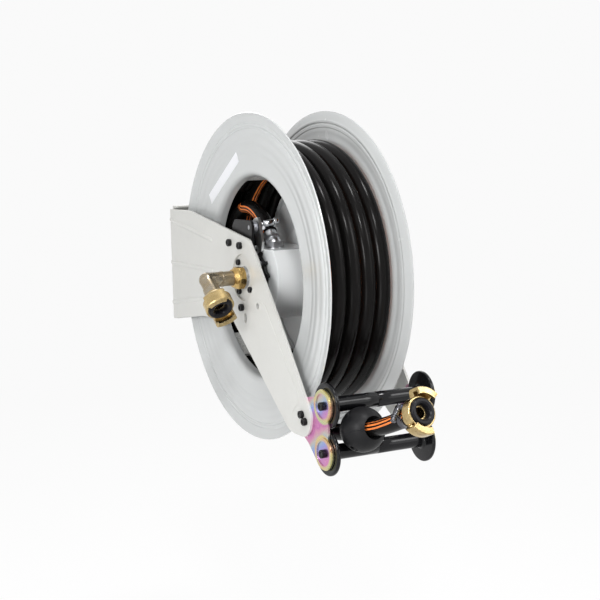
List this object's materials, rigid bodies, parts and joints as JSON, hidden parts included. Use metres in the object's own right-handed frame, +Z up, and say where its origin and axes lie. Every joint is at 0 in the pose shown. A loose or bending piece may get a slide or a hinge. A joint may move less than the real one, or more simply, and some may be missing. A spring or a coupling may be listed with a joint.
{
  "type": "hose reel",
  "caption": "Wall-mounted spring-return hose reel: a grey steel drum on a bracket arm, black hose wound on it, a double roller guide with a stopper ball, and brass claw couplings.",
  "frame": {"origin": "centre of the wall bolts on the back of the base, at the wall", "axes": "+Y into the wall, +Z up, X along the drum's axis with the water inlet at -X"},
  "size_m": [0.2392, 0.5968, 0.4395],
  "materials": {
    "grey_paint": "gloss powder coat",
    "black_steel": "black oxide",
    "steel": "turned",
    "pawl_steel": "zinc plated",
    "spring_steel": "oiled",
    "bronze": "sintered",
    "brass": "polished",
    "nickel": "worn nickel",
    "chrome": "polished",
    "zinc": "iridescent passivated zinc",
    "hose_rubber": "glossy",
    "seal_rubber": "matte",
    "roller_plastic": "smooth",
    "ball_rubber": "satin",
    "label_film": "film"
  },
  "bodies": {
    "frame": {"back_plate": "grey_paint", "near_side_frame": "grey_paint", "far_side_frame": "grey_paint", "near_carrier": "grey_paint", "far_carrier": "grey_paint", "carrier_bolts": "black_steel", "spindle": "steel", "spindle_bolts": "black_steel", "spindle_nut": "steel", "pawl_bracket": "black_steel", "pawl_bolt": "black_steel", "pawl_pin": "steel", "pawl_spring": "spring_steel", "near_guide_plate": "zinc", "far_guide_plate": "zinc", "guide_bolts": "black_steel", "roller_pins": "black_steel", "free_hose": "hose_rubber", "stopper_ball": "ball_rubber", "ball_screws": "steel", "outlet_clamp": "chrome", "outlet_coupling": "brass", "outlet_seal": "seal_rubber"},
    "drum": {"near_flange": "grey_paint", "far_flange": "grey_paint", "flange_spacers": "grey_paint", "hub_housing": "grey_paint", "hub_dish": "grey_paint", "hub_tube": "steel", "bearing_bushes": "bronze", "swivel_seals": "seal_rubber", "outlet_riser": "steel", "ratchet_wheel": "black_steel", "ratchet_screws": "steel", "spring_case": "grey_paint", "case_screws": "steel", "power_spring": "spring_steel", "hose_inner_layer": "hose_rubber", "hose_outer_layer": "hose_rubber", "hose_tail": "hose_rubber", "tail_clamp": "chrome", "tail_fitting": "chrome", "label": "label_film"},
    "pawl": {"pawl": "pawl_steel"},
    "upper_roller": {"upper_roller": "roller_plastic"},
    "lower_roller": {"lower_roller": "roller_plastic"},
    "inlet": {"union_nut": "brass", "inlet_elbow": "nickel", "inlet_coupling": "brass", "inlet_seal": "seal_rubber"}
  },
  "joints": [
    {"name": "drum_spin", "type": "hinge", "parent": "frame", "child": "drum", "pos_m": [0, -0.24, 0], "axis": [1, 0, 0], "continuous": true},
    {"name": "pawl_swing", "type": "hinge", "parent": "frame", "child": "pawl", "pos_m": [-0.056, -0.248, 0.066], "axis": [1, 0, 0], "range_deg": [0, 25], "stiffness_Nm_per_rad": 0.02, "springref_deg": -17.19},
    {"name": "upper_roller_spin", "type": "hinge", "parent": "frame", "child": "upper_roller", "pos_m": [0, -0.4455, -0.13767], "axis": [1, 0, 0], "continuous": true},
    {"name": "lower_roller_spin", "type": "hinge", "parent": "frame", "child": "lower_roller", "pos_m": [0, -0.4455, -0.19567], "axis": [1, 0, 0], "continuous": true},
    {"name": "inlet_swivel", "type": "hinge", "parent": "frame", "child": "inlet", "pos_m": [-0.085, -0.24, 0], "axis": [1, 0, 0], "continuous": true}
  ]
}
